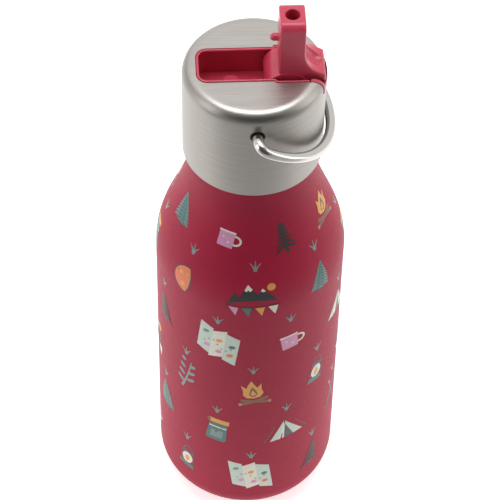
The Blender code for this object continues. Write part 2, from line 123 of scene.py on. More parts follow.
def finished(obj, finish, body, replaced, sharp=35):
    """Shades a piece, gives it its material and puts it on its body."""
    mesh = obj.data
    mesh.materials.clear()
    mesh.materials.append(finish)
    for face in mesh.polygons:
        face.material_index = 0
    mesh.shade_smooth()
    mesh.set_sharp_from_angle(angle=math.radians(sharp))
    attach(obj, body)
    if replaced:
        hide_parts(*replaced)
    return obj


def baked(obj):
    """The object with its modifiers and its own place turned into plain mesh."""
    graph = bpy.context.evaluated_depsgraph_get()
    mesh = bpy.data.meshes.new_from_object(obj.evaluated_get(graph))
    mesh.transform(obj.matrix_world)
    obj.modifiers.clear()
    obj.data = mesh
    obj.matrix_world = Matrix.Identity(4)
    return obj


def discard(obj):
    bpy.data.objects.remove(obj)


def lathe(name, profile, steps=LATHE_STEPS, closed=False):
    """A profile of (radius, height) points turned about Z into a closed shape."""
    work = bmesh.new()
    points = [work.verts.new((radius, 0, height)) for radius, height in profile]
    edges = [work.edges.new(pair) for pair in zip(points, points[1:])]
    if closed:
        edges.append(work.edges.new((points[-1], points[0])))
    bmesh.ops.spin(work, geom=points + edges, axis=(0, 0, 1), cent=(0, 0, 0), steps=steps,
                   angle=2 * math.pi, use_merge=True)
    bmesh.ops.remove_doubles(work, verts=work.verts, dist=0.002 * MM)
    bmesh.ops.recalc_face_normals(work, faces=work.faces)
    mesh = bpy.data.meshes.new(name)
    work.to_mesh(mesh)
    work.free()
    return link(name, mesh)


def plug(name, radius, low, high, steps=48):
    """A round bar on the Z axis between two heights."""
    return lathe(name, [(0, high), (radius, high), (radius, low), (0, low)], steps)


def lifted_points(geometry):
    return [item for item in geometry if isinstance(item, bmesh.types.BMVert)]


def prism(name, outline, low, high):
    """An outline of (x, y) points between two heights."""
    work = bmesh.new()
    face = work.faces.new([work.verts.new((x, y, low)) for x, y in outline])
    lifted = bmesh.ops.extrude_face_region(work, geom=[face])["geom"]
    bmesh.ops.translate(work, verts=lifted_points(lifted), vec=(0, 0, high - low))
    bmesh.ops.recalc_face_normals(work, faces=work.faces)
    mesh = bpy.data.meshes.new(name)
    work.to_mesh(mesh)
    work.free()
    return link(name, mesh)


def across(obj, x, z):
    """Turns a lathed shape so that its axis is the line along Y through (x, z)."""
    obj.data.transform(Matrix.Translation((x, 0, z)) @ Matrix.Rotation(math.pi / 2, 4, "X"))
    return obj


def carve(obj, *tools, operation="DIFFERENCE"):
    """Cuts the tools from the object, or joins or intersects them, and removes them."""
    for tool in tools:
        cut = obj.modifiers.new("Carve", "BOOLEAN")
        cut.operation = operation
        cut.object = tool
        cut.solver = "EXACT"
    baked(obj)
    for tool in tools:
        discard(tool)
    return obj


def rounded(obj, width, segments=3, angle=40, clamp=True):
    rounding = obj.modifiers.new("Rounding", "BEVEL")
    rounding.width = width
    rounding.segments = segments
    rounding.limit_method = "ANGLE"
    rounding.angle_limit = math.radians(angle)
    rounding.use_clamp_overlap = clamp
    return baked(obj)


def round_wire(name, points, radius):
    """A round bar along a flat path of (x, y) points, with closed ends."""
    curve = bpy.data.curves.new(name, "CURVE")
    curve.dimensions = "3D"
    curve.bevel_depth = radius
    curve.bevel_resolution = 8
    curve.use_fill_caps = True
    spline = curve.splines.new("POLY")
    spline.points.add(len(points) - 1)
    for target, (x, y) in zip(spline.points, points):
        target.co = (x, y, 0, 1)
    path = link(name + "_path", curve)
    graph = bpy.context.evaluated_depsgraph_get()
    mesh = bpy.data.meshes.new_from_object(path.evaluated_get(graph))
    discard(path)
    work = bmesh.new()
    work.from_mesh(mesh)
    bmesh.ops.remove_doubles(work, verts=work.verts, dist=0.002 * MM)
    bmesh.ops.recalc_face_normals(work, faces=work.faces)
    work.to_mesh(mesh)
    work.free()
    return link(name, mesh)


def arc(centre, radius, start, end, count):
    """Points on an arc from the start angle to the end angle, in degrees."""
    angles = [math.radians(start + (end - start) * i / count) for i in range(count + 1)]
    return [(centre[0] + radius * math.cos(a), centre[1] + radius * math.sin(a)) for a in angles]


def bezier(p0, p1, p2, p3, count):
    points = []
    for i in range(count + 1):
        t = i / count
        weights = ((1 - t) ** 3, 3 * (1 - t) ** 2 * t, 3 * (1 - t) * t * t, t**3)
        points.append(tuple(sum(w * p[k] for w, p in zip(weights, (p0, p1, p2, p3))) for k in (0, 1)))
    return points


# ---------------------------------------------------------------- materials


class Finish:
    """A Principled material with short calls for the nodes that give it its detail."""

    def __init__(self, name, colour, roughness, metallic=0.0, **sockets):
        self.material = bpy.data.materials.new(name)
        self.material.use_nodes = True
        self.tree = self.material.node_tree
        self.shader = self.tree.nodes["Principled BSDF"]
        self.shader.inputs["Base Color"].default_value = (*colour, 1)
        self.shader.inputs["Roughness"].default_value = roughness
        self.shader.inputs["Metallic"].default_value = metallic
        for socket, value in sockets.items():
            self.shader.inputs[socket.replace("_", " ")].default_value = value
        self.coordinates = self.tree.nodes.new("ShaderNodeTexCoord")

    def noise(self, scale, detail=2.0, stretch=(1, 1, 1)):
        """Noise of about 1/scale metres, stretched along the axes with a low factor."""
        mapping = self.tree.nodes.new("ShaderNodeMapping")
        mapping.inputs["Scale"].default_value = stretch
        texture = self.tree.nodes.new("ShaderNodeTexNoise")
        texture.inputs["Scale"].default_value = scale
        texture.inputs["Detail"].default_value = detail
        self.tree.links.new(self.coordinates.outputs["Object"], mapping.inputs["Vector"])
        self.tree.links.new(mapping.outputs["Vector"], texture.inputs["Vector"])
        return texture.outputs["Fac"]

    def ramp(self, value, low, high, start=0.3, end=0.7):
        """Value mapped from start..end to low..high."""
        node = self.tree.nodes.new("ShaderNodeMapRange")
        self.tree.links.new(value, node.inputs["Value"])
        for socket, number in (("From Min", start), ("From Max", end), ("To Min", low), ("To Max", high)):
            node.inputs[socket].default_value = number
        return node.outputs["Result"]

    def blend(self, value, first, second):
        """A colour between two, each a colour or a socket."""
        node = self.tree.nodes.new("ShaderNodeMix")
        node.data_type = "RGBA"
        self.tree.links.new(value, node.inputs["Factor"])
        for socket, colour in ((node.inputs[6], first), (node.inputs[7], second)):
            if isinstance(colour, tuple):
                socket.default_value = (*colour, 1)
            else:
                self.tree.links.new(colour, socket)
        return node.outputs[2]

    def mix_value(self, value, first, second):
        node = self.tree.nodes.new("ShaderNodeMix")
        self.tree.links.new(value, node.inputs["Factor"])
        self.tree.links.new(first, node.inputs[2])
        self.tree.links.new(second, node.inputs[3])
        return node.outputs[0]

    def bump(self, height, strength, distance):
        node = self.tree.nodes.new("ShaderNodeBump")
        node.inputs["Strength"].default_value = strength
        node.inputs["Distance"].default_value = distance
        self.tree.links.new(height, node.inputs["Height"])
        self.tree.links.new(node.outputs["Normal"], self.shader.inputs["Normal"])

    def set(self, socket, value):
        self.tree.links.new(value, self.shader.inputs[socket])


def powder_coat():
    """Satin powder coat: a fine orange-peel grain and a faint mottle in its crimson."""
    finish = Finish("powder_coat", (0.30, 0.008, 0.030), 0.44, Specular_IOR_Level=0.20)
    mottle = finish.noise(60, 3)
    finish.set("Base Color", finish.blend(mottle, (0.335, 0.006, 0.033), (0.395, 0.010, 0.045)))
    finish.set("Roughness", finish.ramp(finish.noise(900, 3), 0.48, 0.57))
    finish.bump(finish.noise(2600, 3), 0.22, 0.03 * MM)
    return finish.material


def brushed_steel(name, roughness, bump):
    """Steel brushed along X on flat tops and around the axis on upright walls; the tops get a lighter colour
    and the walls a darker one, which is painted light and shade.
    """
    finish = Finish(name, (0.62, 0.60, 0.57), roughness, 1.0)
    geometry = finish.tree.nodes.new("ShaderNodeNewGeometry")
    parts = finish.tree.nodes.new("ShaderNodeSeparateXYZ")
    finish.tree.links.new(geometry.outputs["Normal"], parts.inputs["Vector"])
    upward = finish.ramp(parts.outputs["Z"], 0, 1, 0.75, 0.92)
    top = finish.noise(1, 3, (60, 5200, 60))
    wall = finish.noise(1, 3, (40, 40, 5200))
    streaks = finish.mix_value(upward, wall, top)
    # Painted light and shade: upright walls get a darker colour and flat tops a lighter one, standing in for
    # how the light falls on them.
    shaded_wall_tone = finish.blend(finish.ramp(streaks, 0, 1), (0.29, 0.272, 0.248), (0.37, 0.347, 0.318))
    lit_top_tone = finish.blend(finish.ramp(streaks, 0, 1), (0.45, 0.425, 0.395), (0.54, 0.51, 0.48))
    finish.set("Base Color", finish.blend(upward, shaded_wall_tone, lit_top_tone))
    finish.set("Roughness", finish.ramp(streaks, roughness - 0.05, roughness + 0.08))
    finish.bump(streaks, bump, 0.01 * MM)
    return finish.material


def polished_steel():
    """Polished wire with a few faint handling marks."""
    finish = Finish("polished_steel", (0.58, 0.56, 0.53), 0.13, 1.0)
    marks = finish.noise(700, 5)
    finish.set("Roughness", finish.ramp(marks, 0.09, 0.22, 0.4, 0.75))
    finish.bump(finish.noise(1400, 2), 0.04, 0.01 * MM)
    return finish.material


def spout_plastic():
    """Semi-gloss moulded plastic with a fine spark-eroded grain."""
    finish = Finish("spout_plastic", (0.56, 0.040, 0.085), 0.36, Coat_Weight=0.35, Coat_Roughness=0.16,
                    Subsurface_Weight=0.05, Subsurface_Scale=0.002)
    finish.shader.inputs["Subsurface Radius"].default_value = (1.0, 0.25, 0.25)
    finish.set("Base Color", finish.blend(finish.noise(110, 2), (0.53, 0.036, 0.078), (0.60, 0.046, 0.094)))
    finish.set("Roughness", finish.ramp(finish.noise(1300, 3), 0.30, 0.40))
    finish.bump(finish.noise(3200, 2), 0.08, 0.02 * MM)
    return finish.material


def moulded(name, colour, roughness, grain=1800, **sockets):
    """Plain moulded plastic or silicone with a fine grain and a slight unevenness in its tone."""
    finish = Finish(name, colour, roughness, **sockets)
    darker = tuple(0.92 * c for c in colour)
    finish.set("Base Color", finish.blend(finish.noise(150, 2), darker, colour))
    finish.set("Roughness", finish.ramp(finish.noise(900, 2), roughness - 0.05, roughness + 0.05))
    finish.bump(finish.noise(grain, 2), 0.1, 0.02 * MM)
    return finish.material


def printing_ink():
    """Opaque printed ink: its colour is each shape's own, with a fine speckle."""
    finish = Finish("printing_ink", (0.8, 0.8, 0.8), 0.42)
    ink = finish.tree.nodes.new("ShaderNodeAttribute")
    ink.attribute_name = "ink"
    shade = finish.tree.nodes.new("ShaderNodeMix")
    shade.data_type = "RGBA"
    shade.blend_type = "MULTIPLY"
    shade.inputs["Factor"].default_value = 1.0
    speckle = finish.ramp(finish.noise(1500, 3), 0.86, 1.0)
    finish.tree.links.new(ink.outputs["Color"], shade.inputs[6])
    finish.tree.links.new(speckle, shade.inputs[7])
    finish.set("Base Color", shade.outputs[2])
    finish.bump(finish.noise(2600, 2), 0.12, 0.02 * MM)
    return finish.material


# ---------------------------------------------------------------- the bottle


def outer_profile():
    """The painted outside from the collar's top down to the base rim, as (radius, height)."""
    upper_handle = (COLLAR_RADIUS + 1.2 * MM, COLLAR_Z - 25 * MM)
    lower_handle = (BODY_RADIUS, WALL_TOP_Z + 19.6 * MM)
    profile = [(NECK_RADIUS + 0.1 * MM, COLLAR_Z + 1.0 * MM)]
    profile += arc((COLLAR_RADIUS - 0.8 * MM, COLLAR_Z + 0.2 * MM), 0.8 * MM, 90, 0, 5)
    profile += bezier((COLLAR_RADIUS, COLLAR_Z), upper_handle, lower_handle, (BODY_RADIUS, WALL_TOP_Z), 48)
    profile += [(BODY_RADIUS, WALL_TOP_Z - 12 * MM * i) for i in range(1, 10)]
    profile += arc((BODY_RADIUS - BASE_ROUNDING, BASE_ROUNDING), BASE_ROUNDING, 0, -90, 22)
    return profile


def make_painted_body(coat):
    """One seamless painted skin: the weld between shell and base is ground flush and coated over."""
    outside = outer_profile()
    recess = arc((BASE_RIM_RADIUS, 0.8 * MM), 0.8 * MM, -90, -170, 5)
    recess += [(BASE_RIM_RADIUS - 1.6 * MM, BASE_RECESS), (disc_high[0] - 1.0 * MM, BASE_RECESS)]
    top = BASE_RECESS + SHEET
    inside = [(disc_high[0] - 1.0 * MM, top), (BASE_RIM_RADIUS, top)]
    inside += arc((BODY_RADIUS - BASE_ROUNDING, BASE_ROUNDING), BASE_ROUNDING - SHEET, -80, 0, 12)
    inside += [(radius - SHEET, height) for radius, height in outside[6:55:4][::-1]]
    inside.append((NECK_RADIUS + 0.1 * MM, COLLAR_Z - 0.2 * MM))
    body = lathe("painted_body", outside + recess + inside, closed=True)
    return finished(body, coat, "bottle", ["outer_shell", "outer_base"])


def thread_tree(finish):
    """Geometry Nodes: a helical ridge with tapered ends, from named sizes."""
    tree = bpy.data.node_groups.new("helical_thread", "GeometryNodeTree")
    tree.interface.new_socket("Thread", in_out="OUTPUT", socket_type="NodeSocketGeometry")
    sizes = {name: tree.interface.new_socket(name, in_out="INPUT", socket_type="NodeSocketFloat").identifier
             for name in ("Radius", "Lift", "Turns", "Start", "Width", "Height")}
    nodes, links = tree.nodes, tree.links
    group_in = nodes.new("NodeGroupInput")
    spiral = nodes.new("GeometryNodeCurveSpiral")
    spiral.inputs["Resolution"].default_value = 72
    place = nodes.new("GeometryNodeTransform")
    offset = nodes.new("ShaderNodeCombineXYZ")
    section = nodes.new("GeometryNodeCurvePrimitiveQuadrilateral")
    section.mode = "TRAPEZOID"
    section.inputs["Offset"].default_value = 0
    half = nodes.new("ShaderNodeMath")
    half.operation = "MULTIPLY"
    half.inputs[1].default_value = 0.45
    along = nodes.new("GeometryNodeSplineParameter")
    fade = nodes.new("ShaderNodeFloatCurve")
    points = fade.mapping.curves[0].points
    points[0].location, points[1].location = (0.0, 0.15), (1.0, 0.15)
    points.new(0.08, 1.0)
    points.new(0.92, 1.0)
    radius = nodes.new("GeometryNodeSetCurveRadius")
    sweep = nodes.new("GeometryNodeCurveToMesh")
    sweep.inputs["Fill Caps"].default_value = True
    realize = nodes.new("GeometryNodeRealizeInstances")
    paint = nodes.new("GeometryNodeSetMaterial")
    paint.inputs["Material"].default_value = finish
    group_out = nodes.new("NodeGroupOutput")
    links.new(group_in.outputs["Radius"], spiral.inputs["Start Radius"])
    links.new(group_in.outputs["Radius"], spiral.inputs["End Radius"])
    links.new(group_in.outputs["Lift"], spiral.inputs["Height"])
    links.new(group_in.outputs["Turns"], spiral.inputs["Rotations"])
    links.new(group_in.outputs["Start"], offset.inputs["Z"])
    links.new(spiral.outputs["Curve"], place.inputs["Geometry"])
    links.new(offset.outputs["Vector"], place.inputs["Translation"])
    links.new(group_in.outputs["Width"], section.inputs["Bottom Width"])
    links.new(group_in.outputs["Width"], half.inputs[0])
    links.new(half.outputs["Value"], section.inputs["Top Width"])
    links.new(group_in.outputs["Height"], section.inputs["Height"])
    links.new(place.outputs["Geometry"], radius.inputs["Curve"])
    links.new(along.outputs["Factor"], fade.inputs["Value"])
    links.new(fade.outputs["Value"], radius.inputs["Radius"])
    links.new(radius.outputs["Curve"], sweep.inputs["Curve"])
    if "Scale" in sweep.inputs:
        links.new(fade.outputs["Value"], sweep.inputs["Scale"])
    links.new(section.outputs["Curve"], sweep.inputs["Profile Curve"])
    links.new(sweep.outputs["Mesh"], realize.inputs["Geometry"])
    links.new(realize.outputs["Geometry"], paint.inputs["Geometry"])
    links.new(paint.outputs["Geometry"], group_out.inputs["Thread"])
    return tree, sizes


def make_neck(steel):
    """The bare steel neck that the cap screws onto, with its rolled thread."""
    lip = shell_high[2]
    wall = [(NECK_RADIUS - SHEET, lip - 0.2 * MM), (NECK_RADIUS - 0.3 * MM, lip),
            (NECK_RADIUS, lip - 0.3 * MM),
            (NECK_RADIUS, COLLAR_Z - 0.1 * MM), (NECK_RADIUS - SHEET, COLLAR_Z - 0.1 * MM)]
    neck = lathe("steel_neck", wall, closed=True)
    finished(neck, steel, "bottle", [])
    tree, sizes = thread_tree(steel)
    ridge = link("neck_thread", bpy.data.meshes.new("neck_thread"))
    winding = ridge.modifiers.new("Thread", "NODES")
    winding.node_group = tree
    values = {"Radius": NECK_RADIUS + 0.35 * MM, "Lift": 6 * MM, "Turns": 1.5, "Start": 177 * MM,
              "Width": 1.9 * MM, "Height": 0.9 * MM}
    for name, value in values.items():
        winding[sizes[name]] = value
    baked(ridge)
    finished(ridge, steel, "bottle", [])


def make_base_disc(coat):
    """The disc that covers the sealing point under the base, with a stepped rim."""
    radius, low, high = disc_high[0], disc_low[2], disc_high[2]
    profile = [(0, high), (radius - 0.3 * MM, high)]
    profile += arc((radius - 0.35 * MM, low + 0.35 * MM), 0.35 * MM, 0, -90, 5)
    profile += [(radius - 2.4 * MM, low), (radius - 3.0 * MM, low + 0.3 * MM), (0, low + 0.3 * MM)]
    finished(lathe("base_disc", profile), coat, "bottle", ["base_cover_disc"])


# ---------------------------------------------------------------- the cap


def slot_outline(grow, end):
    """The spout tray's outline as seen from above, grown by grow, as far as end at +X."""
    left = TRAY_LEFT_X - grow
    narrow = TRAY_HALF_WIDTH + grow
    wide = TRAY_WIDE_HALF_WIDTH + grow
    corner = TRAY_CORNER + grow
    step = TRAY_STEP_X - grow
    outline = arc((left + corner, -narrow + corner), corner, 180, 270, 12)
    outline += [(step, -narrow), (step + 0.6 * MM, -wide), (end, -wide), (end, wide), (step + 0.6 * MM, wide),
                (step, narrow)]
    outline += arc((left + corner, narrow - corner), corner, 90, 180, 12)
    return outline


def rim_path():
    """The middle of the tray's rim, from the wide part on one side round to the other."""
    inset = 0.5 * MM
    narrow, wide = TRAY_HALF_WIDTH - inset, TRAY_WIDE_HALF_WIDTH - inset
    corner = TRAY_CORNER - inset
    left = TRAY_LEFT_X + inset
    end = 16.9 * MM
    path = [(end, wide), (TRAY_STEP_X + 0.8 * MM, wide), (TRAY_STEP_X + 0.1 * MM, narrow)]
    path += arc((left + corner, narrow - corner), corner, 90, 180, 12)
    path += arc((left + corner, -narrow + corner), corner, 180, 270, 12)
    return path + [(TRAY_STEP_X + 0.1 * MM, -narrow), (TRAY_STEP_X + 0.8 * MM, -wide), (end, -wide)]


def make_steel_cap(steel):
    """The brushed cap cup: rounded top edge, the tray's slot, and a punched hole for each end of the ring."""
    inner = CAP_RADIUS - SHEET
    centre = (CAP_RADIUS - CAP_FILLET, CAP_TOP_Z - CAP_FILLET)
    flat = [(0, CAP_TOP_Z), (CAP_RADIUS - CAP_FILLET - 0.4 * MM, CAP_TOP_Z)]
    outside = flat + arc(centre, CAP_FILLET, 90, 0, 14)
    outside += [(CAP_RADIUS, CAP_TOP_Z - CAP_FILLET - 0.5 * MM), (CAP_RADIUS, CAP_BOTTOM_Z + 0.35 * MM)]
    outside += arc((CAP_RADIUS - 0.3 * MM, CAP_BOTTOM_Z + 0.3 * MM), 0.3 * MM, 0, -180, 8)
    inside = arc(centre, CAP_FILLET - SHEET, 0, 90, 8) + [(0, CAP_TOP_Z - SHEET)]
    inside.insert(0, (inner, CAP_BOTTOM_Z + 0.35 * MM))
    cap = lathe("steel_cap", outside + inside, 192)
    slot = prism("slot_tool", slot_outline(0.06 * MM, 30 * MM), TRAY_SKIRT_Z - 0.06 * MM, CAP_TOP_Z + 5 * MM)
    punch = across(plug("ring_hole_tool", RING_HOLE + 0.05 * MM, -30 * MM, 30 * MM, 64), 0, RING_PIVOT_Z)
    carve(cap, slot, punch)
    return finished(cap, steel, "cap", ["cap_shell"], 30)


def make_spout_tray(plastic):
    """The moulded tray with its thin raised rim, flat floor, and the well that the spout's drum turns in."""
    low = tray_low[2]
    floor_low = TRAY_FLOOR_Z - 1.2 * MM
    tray = prism("spout_tray", slot_outline(0, 30 * MM), floor_low, CAP_TOP_Z + TRAY_PROUD)
    well_radius = DRUM_RADIUS + 0.35 * MM
    half = DRUM_HALF_WIDTH + 1.5 * MM
    well_body = across(plug("well_body", well_radius + 1.2 * MM, -half, half, 96), PIVOT_X, PIVOT_Z)
    limit = plug("well_limit", 40 * MM, low - MM, TRAY_SHELF_Z - MM, 32)
    carve(well_body, limit, operation="INTERSECT")
    carve(tray, well_body, operation="UNION")
    grow = TRAY_PROUD
    centre = (CAP_RADIUS - CAP_FILLET, CAP_TOP_Z - CAP_FILLET)
    envelope = [(0, CAP_TOP_Z + grow)] + arc(centre, CAP_FILLET + grow, 90, 0, 18)
    envelope += [(CAP_RADIUS + grow, TRAY_SKIRT_Z), (CAP_RADIUS - SHEET - 0.3 * MM, TRAY_SKIRT_Z),
                 (CAP_RADIUS - SHEET - 0.3 * MM, low - MM), (0, low - MM)]
    carve(tray, lathe("cap_envelope", envelope, 192), operation="INTERSECT")
    left = TRAY_LEFT_X + TRAY_WALL
    inner = TRAY_HALF_WIDTH - TRAY_WALL
    corner = TRAY_CORNER - TRAY_WALL
    outline = arc((left + corner, -inner + corner), corner, 180, 270, 10)
    outline += [(TRAY_STEP_X + 4 * MM, -inner), (TRAY_STEP_X + 4 * MM, inner)]
    outline += arc((left + corner, inner - corner), corner, 90, 180, 10)
    above = CAP_TOP_Z + 20 * MM
    channel = prism("channel_tool", outline, TRAY_FLOOR_Z, above)
    wide = TRAY_WIDE_HALF_WIDTH - TRAY_WALL
    step = TRAY_STEP_X + TRAY_WALL * 0.4
    shelf_outline = [(step, -wide), (30 * MM, -wide), (30 * MM, wide), (step, wide)]
    shelf = prism("shelf_tool", shelf_outline, TRAY_SHELF_Z, above)
    half = DRUM_HALF_WIDTH + 0.3 * MM
    well_tool = across(plug("well_tool", well_radius, -half, half, 96), PIVOT_X, PIVOT_Z)
    vent_low = low - 2 * MM
    vent_tool = plug("vent_tool", 2.6 * MM, vent_low, TRAY_FLOOR_Z + 2 * MM)
    vent_tool.data.transform(Matrix.Translation((PIVOT_X - NUB_REACH, 0, 0)))
    straw_tool = plug("straw_tool", 3.6 * MM, vent_low, PIVOT_Z - 3 * MM)
    straw_tool.data.transform(Matrix.Translation((PIVOT_X, 0, 0)))
    pin_half = half + 0.9 * MM
    pin_tool = across(plug("pin_tool", 1.5 * MM, -pin_half, pin_half, 32), PIVOT_X, PIVOT_Z)
    carve(tray, channel, shelf, well_tool, vent_tool, straw_tool, pin_tool)
    bead = round_wire("tray_rim", rim_path(), 0.5 * MM)
    bead.data.transform(Matrix.Translation((0, 0, CAP_TOP_Z - 0.25 * MM)))
    finished(bead, plastic, "cap", [], 60)
    return finished(tray, plastic, "cap", ["cap_tray"], 40)


def spout_side():
    """The spout's side view in (x, z): column, thumb lug and drum, from the top left, clockwise."""
    tip = LUG_TIP_X
    under = TRAY_SHELF_Z + 0.3 * MM
    outline = [(SPOUT_LEFT_X, SPOUT_TOP_Z), (SPOUT_RIGHT_X, SPOUT_TOP_Z)]
    outline += bezier((SPOUT_RIGHT_X, CAP_TOP_Z + 9 * MM), (SPOUT_RIGHT_X + 0.4 * MM, CAP_TOP_Z + 4.4 * MM),
                      (tip - 4 * MM, CAP_TOP_Z + 2.2 * MM), (tip - 0.8 * MM, CAP_TOP_Z + 0.9 * MM), 18)
    outline += arc((tip - 0.9 * MM, CAP_TOP_Z - 0.1 * MM), 0.9 * MM, 60, 0, 4)
    outline += arc((tip - 0.6 * MM, under + 0.6 * MM), 0.6 * MM, 0, -90, 4)
    start = math.degrees(math.asin((under - PIVOT_Z) / DRUM_RADIUS))
    end = math.degrees(math.acos((SPOUT_LEFT_X - PIVOT_X) / DRUM_RADIUS))
    outline += arc((PIVOT_X, PIVOT_Z), DRUM_RADIUS, start, end - 360, 72)
    return outline


def make_flip_spout(plastic):
    """The drinking spout: a soft-edged column on a drum, with a dished thumb lug and the vent's stopper."""
    work = bmesh.new()
    half = DRUM_HALF_WIDTH
    face = work.faces.new([work.verts.new((x, -half, z)) for x, z in spout_side()])
    lifted = bmesh.ops.extrude_face_region(work, geom=[face])["geom"]
    bmesh.ops.translate(work, verts=lifted_points(lifted), vec=(0, 2 * half, 0))
    taper_low = PIVOT_Z + 8 * MM
    for corner in work.verts:
        share = max(0.0, corner.co.z - taper_low) / (SPOUT_TOP_Z - taper_low)
        corner.co.y *= 1 - (1 - SPOUT_HALF_WIDTH / half) * share
    crown = [edge for edge in work.edges if all(v.co.z > SPOUT_TOP_Z - 0.1 * MM for v in edge.verts)
             and abs(edge.verts[0].co.x - edge.verts[1].co.x) > MM]
    bmesh.ops.bevel(work, geom=crown, offset=2.8 * MM, segments=12, affect="EDGES", profile=0.5)
    bmesh.ops.recalc_face_normals(work, faces=work.faces)
    mesh = bpy.data.meshes.new("flip_spout")
    work.to_mesh(mesh)
    work.free()
    spout = link("flip_spout", mesh)
    rounded(spout, 0.6 * MM, 4, 50, False)
    scoop = lathe("thumb_scoop", arc((0, 0), 1.0, 90, -90, 32), 64)
    scoop.data.transform(Matrix.Translation((LUG_TIP_X - 1.9 * MM, 0, CAP_TOP_Z + 7.0 * MM))
                         @ Matrix.Diagonal((5.4 * MM, 4.9 * MM, 6.3 * MM, 1)))
    middle = (SPOUT_LEFT_X + SPOUT_RIGHT_X) / 2
    flare = 0.35 * MM
    bore = [(0, SPOUT_TOP_Z + MM), (DRINK_HOLE_RADIUS + flare + 0.2 * MM, SPOUT_TOP_Z + MM)]
    bore += arc((DRINK_HOLE_RADIUS + flare, SPOUT_TOP_Z - flare), flare, 100, 180, 8)
    bore += [(DRINK_HOLE_RADIUS, PIVOT_Z + 3 * MM), (0, PIVOT_Z + 3 * MM)]
    drill = lathe("waterway_tool", bore, 64)
    drill.data.transform(Matrix.Translation((middle, 0, 0)))
    start, end = Vector((middle, 0, PIVOT_Z + 5 * MM)), Vector((PIVOT_X, 0, PIVOT_Z - DRUM_RADIUS - MM))
    run = end - start
    elbow = plug("elbow_tool", DRINK_HOLE_RADIUS - 0.2 * MM, -run.length, 0)
    elbow.data.transform(Matrix.Translation(start) @ run.to_track_quat("-Z", "Y").to_matrix().to_4x4())
    pin_tool = across(plug("pin_tool", 1.3 * MM, -12 * MM, 12 * MM, 32), PIVOT_X, PIVOT_Z)
    carve(spout, scoop, drill, elbow, pin_tool)
    tip = arc((0, NUB_LENGTH - NUB_RADIUS), NUB_RADIUS, 90, 0, 10)
    foot = arc((NUB_RADIUS + 0.5 * MM, 0.45 * MM), 0.5 * MM, 180, 250, 5)
    nub = lathe("vent_nub", tip + foot + [(NUB_RADIUS + 0.3 * MM, -MM), (0, -MM)], 48)
    place = Matrix.Translation((SPOUT_LEFT_X, 0, PIVOT_Z + NUB_REACH))
    nub.data.transform(place @ Matrix.Rotation(-math.pi / 2, 4, "Y"))
    carve(spout, nub, operation="UNION")
    return finished(spout, plastic, "spout", ["drinking_spout"], 40)


def make_wire_ring(steel):
    """The carry ring: half a circle of round wire whose ends turn in through the cap's holes."""
    reach = CAP_RADIUS - 3.2 * MM
    bend = 4.6 * MM
    start_angle = 81
    bow = [(x, y * RING_HALF_SPAN / RING_RADIUS) for x, y in arc((0, 0), RING_RADIUS, start_angle, 0, 44)]
    foot = bow[0]
    corner = bezier((0, foot[1] - bend), (0, foot[1] - 0.6 * MM),
                    (foot[0] - bend * 0.62, foot[1] + 0.42 * MM), foot, 12)
    half = [(0, reach)] + corner + bow[1:]
    points = half + [(x, -y) for x, y in half[-2::-1]]
    ring = round_wire("wire_ring", points, RING_WIRE)
    ring.data.transform(Matrix.Translation((0, 0, RING_PIVOT_Z)) @ Matrix.Rotation(RING_DROOP, 4, "Y"))
    return finished(ring, steel, "ring", ["carry_ring"])


# ---------------------------------------------------------------- the printed motifs

INKS = {
    "black": (0.012, 0.014, 0.016), "pine": (0.020, 0.028, 0.026), "teal": (0.045, 0.165, 0.150),
    "mist": (0.190, 0.280, 0.270), "pink": (0.700, 0.310, 0.500), "cream": (0.800, 0.770, 0.660),
    "mint": (0.600, 0.700, 0.600), "ochre": (0.780, 0.360, 0.045), "orange": (0.800, 0.180, 0.060),
    "brown": (0.230, 0.075, 0.035), "sand": (0.480, 0.260, 0.130), "slate": (0.060, 0.070, 0.085),
}


def ellipse(x, y, width, height, turn=0, count=20):
    points = []
    for i in range(count):
        a = 2 * math.pi * i / count
        u, v = width / 2 * math.cos(a), height / 2 * math.sin(a)
        t = math.radians(turn)
        points.append((x + u * math.cos(t) - v * math.sin(t), y + u * math.sin(t) + v * math.cos(t)))
    return points


def stroke(path, start_width, end_width=None):
    """A brush stroke along a path of points, from one width to another."""
    end_width = start_width if end_width is None else end_width
    left, right = [], []
    for i, (x, y) in enumerate(path):
        before, after = path[max(i - 1, 0)], path[min(i + 1, len(path) - 1)]
        dx, dy = after[0] - before[0], after[1] - before[1]
        length = math.hypot(dx, dy)
        width = (start_width + (end_width - start_width) * i / (len(path) - 1)) / 2
        left.append((x - dy / length * width, y + dx / length * width))
        right.append((x + dy / length * width, y - dx / length * width))
    return left + right[::-1]


def sweep(p0, p1, p2, width, tip=0.15, count=6):
    """A stroke along a curve from p0 to p2, pulled towards p1."""
    first, second = (tuple((end[k] + 2 * p1[k]) / 3 for k in (0, 1)) for end in (p0, p2))
    path = bezier(p0, first, second, p2, count)
    return stroke(path, width, tip)


def open_fir(ink="pine", height=18, width=11):
    """A fir drawn with a few curved brush strokes."""
    shapes = [(ink, stroke([(0, -height / 2), (0.1, 0), (0, height / 2)], 1.4, 0.5))]
    tiers = 6
    for i in range(tiers):
        y = height * (0.40 - 0.135 * i)
        reach = width / 2 * (0.35 + 0.65 * i / (tiers - 1))
        for side in (-1, 1):
            pull, tip = (side * reach * 0.55, y - 0.03 * height), (side * reach, y - 0.16 * height)
            shapes.append((ink, sweep((0, y), pull, tip, 1.9)))
    return shapes


